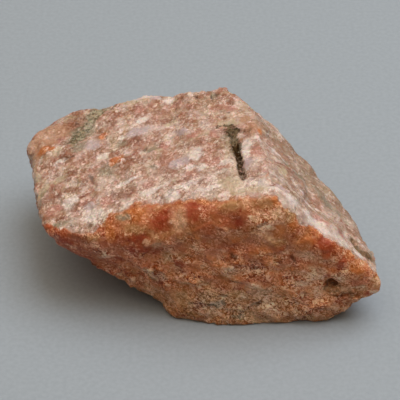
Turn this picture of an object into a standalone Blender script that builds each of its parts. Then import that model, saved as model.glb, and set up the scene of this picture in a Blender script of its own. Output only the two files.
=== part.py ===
"""Rough sunstone: one broken lump of pink feldspar that rests on a small flat spot.

Blender 4.5, metres, +Z up. The origin is under the middle of the stone, on the surface it rests on.
+X runs along the stone to its pointed end, and -Y is the side of its steep front face.
The lists of corners, hollows, grooves, ledges and grains are in millimetres.
"""

import bmesh
import bpy
from mathutils import Vector, noise

# Overall size of the stone
LENGTH = 0.085
DEPTH = 0.055
HEIGHT = 0.036

MM = 0.001

# Corners of the broken faces. Each list goes from left to right, and the foot is cut off flat at height 0.
FRONT_RIDGE = [
    (-37.5, -15, 20), (-26, -19.5, 22.5), (-21, -17, 25.5), (-14, -16.5, 28.5), (0, -18.5, 32),
    (7, -20.5, 33.5), (18, -20, 34.5),
]
BELOW_FRONT_RIDGE = [(-25, -20.5, 19), (-8, -22, 24.5), (7, -23.5, 28), (19.5, -23.5, 29)]
RIGHT_RIDGE = [(27, -22, 25.5), (36.5, -22.5, 16.5), (42, -22.5, 13)]
TIP = [(43, -23.5, 11), (42.4, -23.5, 9), (39.5, -23, 7), (33, -23, 2)]
TOP_RIGHT_EDGE = [(16, -18.5, 35), (14.5, -9, 35.5), (13, 2.5, 36), (11, 15.5, 36), (6, 21, 36.8)]
RIGHT_SLOPE = [(19.5, 0.5, 30.5), (21.5, -8.5, 30.5), (28.5, -12.5, 24.5), (37, -17.5, 16)]
RIGHT_EDGE = [(14.5, 14, 29.5), (25, 7, 24.8), (32.8, -1, 19.8), (37.2, -7, 16), (40, -14.5, 13)]
BACK_EDGE = [(-42, 17.5, 24), (-34, 25.5, 25.5), (-22.5, 26, 28.5), (-7, 22.5, 31.8), (1, 22.5, 35)]
LEFT_EDGE = [(-43.3, 14, 23), (-41.5, 6.5, 21.5), (-38.5, -6.5, 20.5)]
LEFT_END = [(-36, -14.5, 18), (-42.5, 11.5, 18), (-38.5, 1.5, 15.5), (-39, 19.5, 15)]
FRONT_UNDERCUT = [(-8, -23, 2.2)]
UNDERSIDE = [(-32, -0.5, 11), (-29, 19.5, 10), (-21, -6.5, 5.5), (-17, 17.5, 4)]
FOOT = [
    (-5.5, -23, -1), (8, -26, -1), (21, -24.5, -1), (28, -23, -1), (-9, -7, -1), (-7, 6, -1),
    (4, 10, -1), (17, 6, -1), (26, -4.5, -1), (29.5, -15, -1),
]
BACK = [
    (-35, 26.5, 17), (-21, 28, 14), (-1, 27, 15), (13, 21.5, 16), (24, 12.5, 12), (33, 3.5, 9), (39, -15.5, 6),
]
CORNERS = (
    FRONT_RIDGE + BELOW_FRONT_RIDGE + RIGHT_RIDGE + TIP + TOP_RIGHT_EDGE + RIGHT_SLOPE + RIGHT_EDGE
    + BACK_EDGE + LEFT_EDGE + LEFT_END + FRONT_UNDERCUT + UNDERSIDE + FOOT + BACK
)

# Places where a bit has broken away: middle, radius, depth
HOLLOWS = [
    ((-11.5, -22, 4.5), 7, 1.8),
    ((-21, -19.5, 10.5), 10, 1.6),
    ((38.5, -23, 5.5), 3.5, 1),
    ((30.5, -24, 11.5), 2.6, 1.8),
    ((-24, 24, 28), 5, 0.4),
    ((15, 15, 30.5), 5, 0.9),
    ((-43, 9.5, 21), 5, 0.7),
    ((15, -25, 1), 2.5, 1.2),
    ((23, -25.5, 0), 2.2, 0.9),
    ((-2, 27, 16), 9, 1.5),
    ((-27, 12, 7), 8, 1.3),
    ((27, 10, 15), 7, 1.2),
]
# Weathered seams of dark mineral: the points they run through, width, depth
GROOVES = [
    ([(5, 4.7, 35.6), (8.2, 3.1, 35.8), (8.3, -4, 35.6), (9.6, -10, 35.4), (10.1, -16.4, 34.8)], 1.3, 1.3),
    ([(-25, 24.5, 27.5), (-27, 17.5, 27), (-30.5, 12, 26)], 1.8, 0.4),
]
# Ledges where a sheet has split off: start, end, the way the sheet ran, drop, length of the sheet
LEDGES = [
    ((-5.3, 23, 33.5), (-7, 9.5, 31.5), (-1, -0.1, -0.2), 1.1, 9),
    ((-17, -21.5, 15.5), (-10, -22.5, 12.5), (0, 0, -1), 0.9, 5),
    ((-7, -23, 12.8), (0, -24, 10), (0, 0, -1), 0.9, 5),
    ((29, -23.5, 8.4), (38, -23.5, 7), (0, 0, -1), 0.8, 4),
    ((-26, -4.5, 27), (-24, -9.5, 26), (-1, 0, 0), 0.6, 4),
]
# Part of a ledge's run, at each end, over which its drop dies away
LEDGE_TAPER = 0.25
# Broken grains, large to small: size, lean of their faces, height of the steps between them
GRAINS = [(17, 0.045, 0.25), (7.5, 0.06, 0.16), (3.6, 0.07, 0.09)]

# Spacing of the even faces, how often they are smoothed to round the edges, and triangles kept
FACE_SIZE = 0.0009
ROUNDING_PASSES = 3
ROUNDING = 0.5
TRIANGLES = 9000

FELDSPAR_COLOUR = "A9795F"
FELDSPAR_ROUGHNESS = 0.55


def clear_scene():
    for old in list(bpy.data.objects):
        bpy.data.objects.remove(old)


def block_between_corners():
    """A closed block whose flat faces join the corners."""
    block = bmesh.new()
    for corner in CORNERS:
        block.verts.new(Vector(corner) * MM)
    hull = bmesh.ops.convex_hull(block, input=block.verts)
    inside = {v for v in hull["geom_interior"] + hull["geom_unused"] if isinstance(v, bmesh.types.BMVert)}
    bmesh.ops.delete(block, geom=list(inside), context="VERTS")
    mesh = bpy.data.meshes.new("block")
    block.to_mesh(mesh)
    block.free()
    return mesh


def apply_modifiers(stone):
    graph = bpy.context.evaluated_depsgraph_get()
    mesh = bpy.data.meshes.new_from_object(stone.evaluated_get(graph))
    stone.modifiers.clear()
    stone.data = mesh


def cover_evenly(stone):
    """Covers the block with small even faces, which can then be pushed in and out."""
    remesh = stone.modifiers.new("even faces", "REMESH")
    remesh.mode = "VOXEL"
    remesh.voxel_size = FACE_SIZE
    apply_modifiers(stone)


def grain_height(point):
    """Height, in millimetres, of the broken grain faces at this point."""
    height = 0
    for size, lean, step in GRAINS:
        cell = noise.voronoi(point / size)[1][0]
        turn = noise.cell_vector(cell) * 2 - Vector((1, 1, 1))
        height += (point - cell * size).dot(turn) * lean + turn.z * step
    return height


def hollow_depth(point):
    depth = 0
    for middle, radius, deepest in HOLLOWS:
        reach = (point - Vector(middle)).length / radius
        if reach < 1:
            depth += deepest * (1 - reach**2) ** 1.5
    return depth


def distance_to_run(point, run):
    """Distance from the point to the nearest stretch of a run of points."""
    distances = []
    for start, end in zip(run, run[1:]):
        start = Vector(start)
        stretch = Vector(end) - start
        along = max(0, min(1, (point - start).dot(stretch) / stretch.length_squared))
        distances.append((point - start - stretch * along).length)
    return min(distances)


def groove_depth(point):
    depth = 0
    for run, width, deepest in GROOVES:
        reach = distance_to_run(point, run) / width
        depth += deepest * max(0, 1 - reach)
    return depth


def ledge_depth(point):
    depth = 0
    for start, end, way, drop, length in LEDGES:
        start = Vector(start)
        stretch = Vector(end) - start
        along = (point - start).dot(stretch) / stretch.length_squared
        below = (point - start - stretch * along).dot(Vector(way)) / length
        if 0 < along < 1 and 0 < below < 1:
            depth += drop * (1 - below) * min(1, along / LEDGE_TAPER, (1 - along) / LEDGE_TAPER)
    return depth


def break_surface(stone):
    """Rounds the edges, then pushes the surface in and out to make the grains, hollows, seams and ledges."""
    surface = bmesh.new()
    surface.from_mesh(stone.data)
    for _ in range(ROUNDING_PASSES):
        bmesh.ops.smooth_vert(
            surface, verts=surface.verts, factor=ROUNDING, use_axis_x=True, use_axis_y=True, use_axis_z=True
        )
    surface.normal_update()
    for vertex in surface.verts:
        point = vertex.co / MM
        height = grain_height(point) - hollow_depth(point) - groove_depth(point) - ledge_depth(point)
        vertex.co += vertex.normal * height * MM
    surface.to_mesh(stone.data)
    surface.free()


def merge_flat_faces(stone):
    """Joins the small faces where they are nearly flat. Each of them counts as two triangles."""
    decimate = stone.modifiers.new("fewer faces", "DECIMATE")
    decimate.ratio = TRIANGLES / (2 * len(stone.data.polygons))
    apply_modifiers(stone)


def cut_flat_spot(stone):
    """Cuts the foot off flat, which is what the stone rests on."""
    bpy.ops.mesh.primitive_cube_add(size=2 * LENGTH, location=(0, 0, -LENGTH))
    cutter = bpy.context.object
    cutter.name = "below_the_surface"
    cutter.hide_render = True
    cutter.display_type = "WIRE"
    cut = stone.modifiers.new("flat spot", "BOOLEAN")
    cut.operation = "DIFFERENCE"
    cut.solver = "EXACT"
    cut.object = cutter
    apply_modifiers(stone)
    bpy.data.objects.remove(cutter)


def fit_to_size(stone):
    """Brings the stone to its overall size, with the origin under its middle."""
    points = [vertex.co for vertex in stone.data.vertices]
    lowest = Vector([min(point[axis] for point in points) for axis in range(3)])
    highest = Vector([max(point[axis] for point in points) for axis in range(3)])
    size = highest - lowest
    middle = (lowest + highest) / 2
    middle.z = lowest.z
    for point in points:
        point -= middle
        point.x *= LENGTH / size.x
        point.y *= DEPTH / size.y
        point.z *= HEIGHT / size.z


def linear_colour(hex_colour):
    """The linear colour of an sRGB hex value."""
    channels = [int(hex_colour[start:start + 2], 16) / 255 for start in (0, 2, 4)]
    linear = [c / 12.92 if c <= 0.04045 else ((c + 0.055) / 1.055) ** 2.4 for c in channels]
    return (*linear, 1)


def feldspar():
    material = bpy.data.materials.new("broken_pink_feldspar")
    material.use_nodes = True
    shader = material.node_tree.nodes["Principled BSDF"]
    shader.inputs["Base Color"].default_value = linear_colour(FELDSPAR_COLOUR)
    shader.inputs["Roughness"].default_value = FELDSPAR_ROUGHNESS
    shader.inputs["Metallic"].default_value = 0
    return material


def main():
    clear_scene()
    stone = bpy.data.objects.new("sunstone", block_between_corners())
    bpy.context.scene.collection.objects.link(stone)
    cover_evenly(stone)
    break_surface(stone)
    merge_flat_faces(stone)
    cut_flat_spot(stone)
    fit_to_size(stone)
    stone.data.name = "sunstone"
    stone.data.materials.append(feldspar())


main()
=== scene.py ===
"""Rough sunstone: the looks of one broken lump of pink feldspar on a plain pale floor.

Blender 4.5, metres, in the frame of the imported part: +Z up, -Y is the steep front face, +X the pointed end.
Places and sizes on the stone are in millimetres, and those of the studio in metres.
The file is laid out as an add-on and is run as a script.
"""

import itertools
import math
from types import SimpleNamespace

import bmesh
import bpy
import numpy as np
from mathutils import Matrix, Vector


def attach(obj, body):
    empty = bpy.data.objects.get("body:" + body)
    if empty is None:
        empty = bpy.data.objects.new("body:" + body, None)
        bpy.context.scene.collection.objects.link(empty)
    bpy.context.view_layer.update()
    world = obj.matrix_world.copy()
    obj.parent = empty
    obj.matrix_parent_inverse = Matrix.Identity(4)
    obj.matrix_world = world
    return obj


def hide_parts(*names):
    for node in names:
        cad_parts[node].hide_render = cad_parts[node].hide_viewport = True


bl_info = {
    "name": "Rough Sunstone",
    "version": (1, 0, 0),
    "blender": (4, 5, 0),
    "location": "3D Viewport > Sidebar > Sunstone",
    "description": "Makes a rough sunstone, its broken feldspar and the studio around it",
    "category": "Add Mesh",
}

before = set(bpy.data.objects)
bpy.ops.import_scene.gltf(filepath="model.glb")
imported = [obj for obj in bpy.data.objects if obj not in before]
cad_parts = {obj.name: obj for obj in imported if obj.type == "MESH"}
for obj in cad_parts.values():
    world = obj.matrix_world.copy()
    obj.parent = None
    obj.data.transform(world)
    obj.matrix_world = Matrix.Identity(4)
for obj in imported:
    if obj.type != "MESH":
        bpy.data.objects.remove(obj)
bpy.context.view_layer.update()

MM = 0.001

# How far above the floor the photo was taken from
SIGHT_TILT = math.radians(38)
# The broken edge between the pale top and the deeper front: place along the stone, and how high the edge
# stands there as seen from the front at that tilt
EDGE = [
    (-43, 7.2), (-34.5, 7.0), (-28.6, 6.0), (-24.5, 5.5), (-21.2, 9.9), (-14.2, 12.5), (-7.9, 12.4),
    (0.3, 13.6), (5.5, 13.6), (9.5, 14.0), (14.2, 14.1), (17.1, 14.2), (18.4, 13.1), (21.7, 9.9),
    (23.5, 7.6), (26.7, 6.8), (30.5, 3.7), (33.9, 1.6), (38.8, -2.0), (43, -4.6),
]
# The long edge from which the right slope falls away: place across the stone, and where it lies there
SLOPE_EDGE = [
    (-24, 18), (-18.5, 16), (-9, 14.5), (2.5, 13), (15.5, 11), (21, 6), (28, 2),
]

# How the grains are drawn out on each side of the stone: which way, how far in relief, how far in colour
FABRICS = {
    "front": ((0.9, 0, -0.42), 1.6, 1.25),
    "pale": ((0.84, 0.54, 0), 1.5, 1.2),
    "slope": ((0.72, -0.35, -0.6), 1.8, 1.5),
}

# How often the even faces are smoothed: to round the stone, and to find which way it faces broadly
ROUNDING_PASSES = 8
BROAD_PASSES = 10
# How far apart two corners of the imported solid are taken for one, in metres
SAME_PLACE = 1e-6
# How the rims of regions, marks and seams wander: spacing and height of each swell
REGION_WANDER = [(3.2, 0.6), (1.2, 0.5)]
MARK_WANDER = [(2.6, 0.6), (1.1, 0.5)]
SEAM_WANDER = [(1.6, 0.4), (0.7, 0.45)]
# Broken grain faces, large to small: size, lean of their faces, step between them
FACETS = [(4.6, 0.096, 0.11), (2.2, 0.128, 0.08), (1.1, 0.144, 0.05)]

# Seams and cracks: the points they run through, half their width, depth
BLACK_SEAM = [(8.2, -0.8, 34), (8.6, -3.4, 34), (9.1, -6.6, 34), (9.4, -9.7, 34), (9.9, -13.8, 33.8)]
GREY_SEAM = [(7.5, 4.2, 34.2), (7.8, 1.6, 34.1), (8.3, -1.8, 33.9), (8.7, -4.4, 34)]
CURL = [(4.2, 5.4, 34.4), (5.4, 6.3, 34.6), (7.0, 5.7, 34.8), (8.6, 4.0, 34.7), (9.6, 3.2, 34.8)]
GREEN_SEAM = [(-24.6, 24.2, 27.0), (-26.8, 19.5, 26.8), (-28.0, 15.5, 26.6), (-30.4, 12.3, 26.0)]
TIP_SEAM = [(35.6, -17.2, 18.3), (36.6, -19.6, 18.0), (38.2, -20.0, 16.8), (40.4, -19.7, 14.9)]
SMALL_CRACKS = [
    ([(9.4, 3.3, 34.7), (11.2, 2.9, 35), (13.6, 3.6, 34.8)], 0.4, 0.35),
    (TIP_SEAM, 0.9, 0.6),
    # A recess under a ledge near the tip: cut in, and its shade is also painted dark
    ([(29.5, -25.3, 9.5), (32.7, -25.7, 9), (36.8, -25.6, 8.2)], 0.4, 0.35),
    ([(11.1, -26.4, 4.6), (13, -26.4, 6.1), (14.6, -26.2, 7.5)], 0.4, 0.4),
    ([(-25.9, -4.0, 26.3), (-24.5, -6.6, 25.7)], 0.35, 0.5),
    ([(-33.4, 5.0, 25.4), (-31.4, 6.2, 25.6)], 0.5, 0.5),
    ([(-25.5, -15.2, 23.5), (-22.8, -14.6, 24.2), (-20.6, -15.4, 24.6)], 0.4, 0.35),
]
CUTS = [(BLACK_SEAM, 0.7, 0.9), (GREY_SEAM, 0.8, 0.35), (CURL, 0.4, 0.4), *SMALL_CRACKS]
# The hole near the tip
TIP_HOLE = (31.0, -24.2, 11.2)
# Small holes, pits and lumps: middle, radius, height
BITS = [
    ((-1.1, 18.7, 34), 0.6, -0.8),
    ((2.8, 16.7, 35.1), 0.7, -0.9),
    ((4.2, 18.3, 35.4), 0.6, -0.6),
    ((29.9, -24.2, 13.0), 1.9, -0.35),
    (TIP_HOLE, 1.3, -0.8),
    ((15.5, -26.4, 4), 2.4, 0.5),
    ((-12.1, -23.4, 22.4), 1.3, 0.35),
    ((29.3, -25.5, 19.8), 1.2, 0.3),
    ((12.7, -26.2, 11.4), 2.0, 0.3),
]
# Sheets that stand proud over a broken lower edge: the points of the edge, height, how far up they reach
FLAKES = [
    ([(-16.6, -22.6, 15.2), (-13.1, -23.4, 14.6), (-9.8, -23.7, 12.4)], 0.8, 3.0),
    ([(-6.4, -23.9, 11.8), (-2.9, -24.5, 11.6), (0.2, -25.2, 11.0)], 0.7, 2.4),
    ([(-20.0, -21.6, 10.8), (-14.5, -22.6, 9.4)], 0.5, 2.5),
]

# Marks on the top, seen from above: along, across, length, width, and for some a turn in degrees
TOP_MARKS = {
    "salmon": [
        (-33.5, 16.6, 6, 5.4), (-37.7, 17.2, 5, 4), (-39.7, 13.7, 4, 4), (-36.3, 13.6, 4, 3.4),
        (12.9, 3.9, 3.8, 3.6), (10.9, 8.1, 3, 2, 20), (-39.1, 10.9, 2.4, 4),
    ],
    "rust": [
        (-31.9, 19.1, 3.4, 3.4, -30), (-30.9, 17.3, 1.6, 3), (-32.1, 12.5, 3.6, 1.8, 10),
        (-20.9, 18.1, 3, 3), (-21.5, 14.5, 2.4, 2.4), (-7.9, 13.3, 2.6, 2.6), (-7.3, -7.1, 2.4, 3.2),
        (-41.1, 5.1, 1.6, 3), (7.9, 13.3, 1.4, 3.6), (6.4, 8.9, 1, 1.4), (-31.5, -6.1, 6, 1.4, 14),
        (-30.1, -6.1, 3, 1.2, 14), (-26.7, -8.5, 3.4, 1, 14), (-17.7, -11.5, 3.6, 3.4, 30),
        (-4.9, -11.9, 5.6, 1.8, 16), (0.9, -13.3, 5.6, 2, 10), (16.9, -16.7, 1.8, 1.6, -50),
        (-15.5, 6.5, 4, 3, 20), (-12.1, 13.3, 4, 2.4, 20), (18.7, -6.1, 2.6, 1.2, -30),
        (-31.9, -13.3, 3, 1.4, 10),
    ],
    "pink": [
        (-8.3, 2.7, 2.6, 3.8), (-5.7, 18.1, 3, 2.6), (-14.9, 18.7, 2.4, 2.4), (3.1, 3.1, 1.8, 2.8),
        (2.5, -6.7, 3.4, 3), (13.1, -4.9, 3.6, 3.6), (-21.9, -12.5, 3, 2.8, 20),
        (-12.1, -10.7, 2.6, 1.6, 14), (-2.1, -9.7, 3, 1.6, 10), (16.5, -7.9, 4.6, 1, -48),
        (7.7, 12.1, 2.4, 2.4), (-1.5, 3.7, 2.4, 2.2), (-33.5, 13.7, 2.6, 2.4), (-26.3, -10.9, 3, 2, 10),
        (-34.5, -9.9, 4, 2, 14), (27.5, -18.1, 5, 1.4, -38), (33.5, -19.1, 4, 1.2, -35),
        (5.5, -9.5, 3, 1.6, 10), (-20.3, -6.5, 0.9, 1.2), (-4.9, -14.7, 1.1, 1.2),
    ],
    "olive": [
        (-29.1, 14.5, 4.6, 5, 50), (-29.1, 8.7, 4.4, 3, 10), (-21.7, -2.3, 4.4, 4, 14),
        (-11.1, 2.5, 1.8, 3.4, -30), (-11.1, -4.1, 1.8, 1.6), (3.5, 17.1, 2.2, 2.4), (6.5, 1.4, 2.4, 3.6),
        (23.5, -5.5, 4.6, 1.6, -45), (36.5, -19.3, 4, 1.2, -35), (40.1, -18.9, 3, 1.6, -45),
        (30, -8, 8, 1.6, -42), (-18.9, 6.5, 2.4, 2), (-33.5, -15.6, 7, 2.2, 10), (20.3, -3.3, 3.4, 1, -40),
    ],
    "lavender": [
        (-25.9, 8.3, 3.4, 3.2, 10), (-4.7, -4.7, 4.2, 3, 20), (-3.9, 6.9, 2.2, 2.8),
        (-10.9, 21.5, 2.6, 1.8), (11.3, -8.7, 1.8, 3.6), (18.9, -17.1, 3, 1.6, -45),
        (-25.3, -12.9, 2.4, 1.6), (-15.1, 9.7, 5, 3, 20),
    ],
    "cream": [
        (-39.1, 2.3, 2.2, 2.4), (-37.3, -3.5, 2.4, 3.6), (6.9, -15.5, 5, 4), (7.1, 6.7, 5, 1.6),
        (-34.3, 9.1, 2.6, 2.4), (19.1, -9.3, 3.2, 1.4, -45), (-6.7, 11.5, 2.4, 2), (-15.9, 21.5, 6, 2, -10),
        (-9.7, 1.1, 2, 2), (19.8, -8.5, 2.6, 1.3, -60), (-33.8, -1.1, 4, 2, 14), (9.6, -18.6, 6, 2.4),
        (14, -18.6, 4, 2),
    ],
    "white": [
        (-14.3, 14.1, 3, 1.4, 30), (-13.9, 21.9, 4.4, 1.8), (-7.9, 20.5, 3, 2), (-19.1, 8.4, 2.4, 1.4),
        (-33.7, 5.1, 3, 1.2, 14), (-23.1, 3.7, 2.4, 2.2), (-30.9, -9.3, 3, 2.2), (-30.1, -9.5, 2.2, 2.6),
        (-24.3, -15.9, 4, 3.6), (-16.9, -7.3, 6, 1.6, 20), (-6.7, -15.5, 3.4, 3.6),
        (-2.5, -13.3, 4.4, 1.6, 14), (-0.9, -3.1, 3.4, 3.6), (-2.1, -7.3, 3, 1.4), (0.5, -8.7, 2.4, 2.4),
        (10.5, -2.5, 2.6, 4, -20), (10.7, -5.7, 1.8, 3.6), (1.9, -15.9, 6, 1.4, 4),
        (-11.5, -12.7, 4.6, 1.8, 14), (-16.5, -17.1, 3.4, 2.4, 10), (16.5, -18.1, 4, 1.2, -10),
        (13.7, -16.7, 4, 1.6), (13.5, -0.1, 2, 1.6), (21.3, -19.3, 2.6, 2.4, -40),
        (25.5, -20.1, 4.4, 2.6, -35), (28.5, -21.3, 3.4, 1.2, -35), (38.7, -22.5, 5, 1.4, -20),
        (5.9, -7.9, 2.6, 2), (17.9, -1.1, 5, 0.8, -45), (24.1, -12.7, 6, 0.7, -42),
    ],
    # Orange grains, whose flash of reflected light is partly painted into their colour
    "orange": [
        (-23.1, 10.5, 1.9, 2.3), (-19.5, 1.1, 4.2, 2.4, 50), (-37.9, 10.7, 3.4, 1.6, 20),
        (-36.1, 10.3, 2, 1.4), (-38.1, 9.9, 1.6, 1.6), (14.1, 3.1, 1.2, 1.8), (-14.5, -16.5, 3, 1.2, 5),
    ],
    "dark": [
        (-29.6, 15.8, 0.9, 2.4, 30), (-27.8, 20.8, 0.7, 1.8, 40), (-31.7, 11.2, 2, 0.9, 20),
        (-30.3, 18.7, 0.7, 1.8), (-30.7, 12.9, 0.9, 2.2), (-25.5, 24.7, 1.2, 1), (-12.7, 3.1, 0.8, 1.6),
        (-25.5, -4.3, 1.4, 0.8, -60), (-25.5, -4.7, 0.8, 1.2), (7.3, -6.7, 0.5, 0.8),
        (-1.1, 18.7, 0.4, 0.8), (2.9, 16.5, 0.4, 1.5), (-31.7, 5.6, 2.2, 0.6, 16), (4.3, 17.5, 0.6, 1.2),
        (19.5, -6.5, 1, 0.8),
    ],
    # Places of painted glints: clusters of loose grains given pale specks that stand in for highlights
    "painted_glints": [
        (-35, 9.6, 7, 3.4, 10), (-31, -8.6, 6, 3.4), (-19.2, 1.6, 4, 4), (-4, -5, 5, 3.4, 20),
        (-17, -7.4, 7, 2, 20), (-4, -13.6, 12, 4, 14), (-20, 9, 5, 2), (22, -18.6, 9, 2, -38),
        (4, -6, 5, 4),
    ],
}
# Marks on the front, seen from the front: along, up, length, width, and for some a turn in degrees
FRONT_MARKS = {
    "olive": [
        (4.0, 6.4, 3.4, 1.6), (9.0, 3.0, 3, 1.2), (-17.7, 26.6, 2.6, 1.2, 10),
    ],
    "brown": [
        (6.3, 29.9, 8, 2.4), (15.3, 13.9, 4, 2.4), (12.1, 17.9, 5, 2.6), (-9.3, 12.7, 2.4, 4),
        (-17.9, 12.5, 4, 2.4, -30), (-28.1, 15.1, 6, 2, -20), (32.7, 7.1, 4.4, 2.6, -6),
        (21.9, 18.7, 1.6, 4), (10.5, 13.7, 3.4, 2.6), (21.3, 14.1, 4, 2), (7.3, 22.5, 6, 3),
        (2, 27.6, 5, 3.4), (-19.3, 13.1, 5.6, 2, -35), (0.6, 30.4, 4, 2), (-15.5, 19.5, 6, 3.4),
        (-18.8, 22.8, 4, 3), (-8.6, 20.2, 4, 3), (0.2, 5.2, 3, 3), (5.2, 10.2, 3, 2),
    ],
    "rust": [
        (0.2, 1.2, 3.4, 2), (0.2, 5.4, 2.6, 2), (-9.2, 12.4, 2.6, 2.2), (23.8, 0.9, 3, 1.6),
        (-27.5, 21.6, 6, 1.6, -8),
    ],
    "rose": [
        (4.1, 31.3, 5.7, 1.5), (-13.4, 16.3, 5.8, 3), (2.1, 12.7, 3.6, 2), (25, 7.6, 5, 2),
        (38.5, 12.9, 3, 3), (-6.1, 22.5, 4, 2, -10), (-24.7, 20.5, 5.6, 2.6, -14),
        (-21.1, 17.9, 4, 2.4, -30), (32.5, 20.7, 2.8, 2.6, -30), (26.7, 5.5, 5, 3), (-4.1, 14.7, 3, 1.6),
        (19.9, 18.1, 3, 2.6), (3.1, 20.7, 4, 3), (11.3, 23.5, 4, 3), (32.9, 14.1, 2.4, 1.6),
    ],
    # Ochre rind low down; the marks just under the ridge are partly a painted golden glow of light through
    # the clear edge
    "ochre": [
        (-15.3, 25.2, 5, 2, 10), (-7.4, 18.5, 2, 3), (-3.1, 5.9, 4.6, 4.4), (1.1, 11.6, 3.7, 1.8),
        (-4.2, 7.4, 3.4, 3), (2.5, 7.7, 5.6, 5), (11, 3, 7, 3), (8.3, 8.3, 6, 2.6), (17.9, 24.5, 4.6, 2),
        (-2, 3, 4, 2), (13.3, 34.9, 3, 2), (30.5, 10.1, 6, 1.6, -10), (-18.1, 26.9, 2.6, 3.2),
        (41.3, 12.9, 2.6, 4.6), (14.5, 33.2, 6, 2.4), (-15.5, 29.4, 4, 1.6, 8), (6.5, 32.7, 7, 2.2),
        (20.6, 30.3, 2.6, 3, -40), (-22.6, 25.4, 2, 2.4), (14.4, 9.8, 4, 3), (14.4, 1.4, 4, 2.4),
        (33, 10.4, 4, 3), (-24.5, 21.8, 3, 1.6),
    ],
    "chip": [
        (-12.1, 22.4, 1.4, 0.8), (-12.9, 14.3, 3.6, 0.8, -20), (-10.6, 12.6, 2, 1, -30),
        (-2.5, 11.1, 3.4, 0.9, -6), (-19.1, 10.1, 2.4, 0.7, -24), (13.9, 16.6, 2, 0.6, -20),
        (16.1, 6.4, 1.8, 1.1, -10), (12.3, 30.2, 2.4, 0.7), (17.8, 30.9, 1.8, 1, -20),
        (16.3, 28.0, 2, 0.9, -10), (26.6, 15.8, 1.1, 2.6, 20), (33.0, 13.4, 0.9, 2),
        (6.9, 17.6, 2, 0.7, -40), (-23.4, 17.4, 3, 0.5, -32), (12.9, 11.5, 1.5, 0.8), (42, 12.4, 1.8, 1.2),
        (41, 9.3, 2.2, 0.9, 10), (38.6, 16.2, 3, 0.8, -30), (36.4, 10.6, 1.6, 0.7),
    ],
    "peach": [
        (-4.7, 28.1, 3.4, 4), (-12.5, 13.7, 4.6, 2.2, -20), (12.3, 11.4, 3, 2.6), (16.4, 5.6, 4, 3.4),
        (-2.5, 11.3, 4, 2.0, -6), (15.5, 27.3, 4.6, 2.6, -10), (14.6, 31.0, 3, 1.4), (16.1, 25.6, 3.4, 2.4),
        (18.2, 28.9, 3, 2), (13.5, 34.7, 2.4, 2), (18.1, 30.7, 2.6, 2.4, -20), (6.5, 17.1, 3, 2.4, -40),
        (12.7, 11.1, 3.4, 2.2), (16.1, 6.1, 4.4, 3, -10), (26.9, 14.7, 3.4, 4.6, 20),
        (23.3, 12.1, 3.4, 2.4, -10), (32.3, 13.3, 1.6, 2.8), (13.5, 16.3, 1.8, 1.2), (18.5, 2.7, 3.4, 1.4),
        (22.9, 15.1, 4, 1.2), (2.5, 3.7, 4, 2.6), (33.1, 4.9, 4, 1.2, -16), (-11.3, 6.5, 2.4, 1, -20),
        (32.8, 14.0, 3.6, 2.6, -20), (33, 10, 4, 2, -10), (28.2, 9.9, 3.6, 2.6), (14.2, 9.6, 4, 3),
        (14.4, 1.6, 4, 2.4), (14.2, 6, 3, 2), (-9.5, 22.3, 2.4, 1.4), (24.5, 20.3, 5, 2.6, -20),
        (-21.7, 17.9, 5, 0.6, -32), (-22.7, 14.9, 5, 0.5, -32),
    ],
    # Orange under the ridge: orange feldspar, partly a painted glow of light passing through the clear edge
    "orange": [
        (-14.5, 28.3, 5.4, 2.4, 5), (-20.3, 23.5, 2.2, 4, 10), (17.4, 33.4, 2, 2.4), (0.2, 32.0, 2.6, 1.8),
        (21.3, 27.9, 2.4, 2.6, -40), (23.9, 23.7, 4.4, 3.4, -30), (35.9, 15.7, 4.4, 2.6, -30),
        (18.1, 26.9, 3.6, 3), (-1.4, 23.9, 3, 2), (-15.6, 27.6, 5.6, 1.2, 5),
    ],
    "red": [
        (-8.3, 29.2, 5.5, 2.0), (-8.9, 27.2, 4.4, 2.6, 10), (-1.8, 30.9, 3.9, 1.8), (-2.2, 29.6, 2.6, 2),
        (8.8, 29.2, 2.8, 1.5), (-14.2, 23.0, 4.2, 2, 10), (-15.4, 20.4, 1.8, 3), (-12.2, 20.5, 1.4, 1.8),
        (28.9, 22.7, 2.8, 4.6), (25.3, 23.5, 3, 2), (-4.6, 16.9, 2.5, 1.8), (8.9, 31.7, 0.7, 0.7),
        (-31.5, 19.5, 4, 1.8, -20), (-18.7, 16.5, 2, 1.6), (39.1, 8.5, 1.8, 1), (29.3, 14.7, 1.6, 1.4),
        (9.3, 10.1, 2, 1), (12.4, 10.0, 2.4, 0.9), (32.7, 17.8, 2.4, 2.8), (-13.4, 21.0, 1.8, 1.6),
    ],
    "dark": [
        (13.7, 6.5, 2.4, 0.8, 45), (7.9, 21.1, 1.6, 1.2), (-10.3, 14.1, 1.8, 1, -20),
        (-10.7, 12.1, 1.4, 0.7), (5.5, 8.5, 2.4, 0.8), (-36.9, 20.5, 2.6, 1.4, -40),
        (35.5, 8.7, 1.6, 1, -40), (12.5, 17.5, 2, 1), (-25.1, 12.7, 4, 0.8, -25), (21.7, 19.3, 0.8, 2.6),
        (2.3, 6.5, 1.4, 1), (31.9, 8.3, 3.6, 0.8, -6), (29.7, 10.9, 1, 1), (14.3, 29.1, 2.4, 0.8),
        (-1.7, 6.1, 1.6, 0.8), (8.1, 12.9, 2.4, 0.7, -10),
    ],
    # Places of painted glints: clusters of loose grains given pale specks that stand in for highlights
    "painted_glints": [
        (12.4, 17, 7, 4.4, -10), (6.6, 17, 3.6, 3, -40), (-4.6, 18.4, 6, 2), (-2.6, 13.6, 6, 2.4, -10),
        (14.4, 29.6, 6, 3), (17.4, 31.4, 4, 2.6), (3, 7, 9, 7), (16, 6.4, 6, 5), (33.2, 13.8, 4, 4),
        (22.6, 13, 6, 4), (-14.6, 19.8, 4, 2.4), (-23, 18.6, 6, 3, -30), (27, 14, 5, 4.4), (24, 5.6, 10, 6),
        (9, 4, 10, 5), (35, 20.6, 5, 2, -35),
    ],
}
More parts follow.
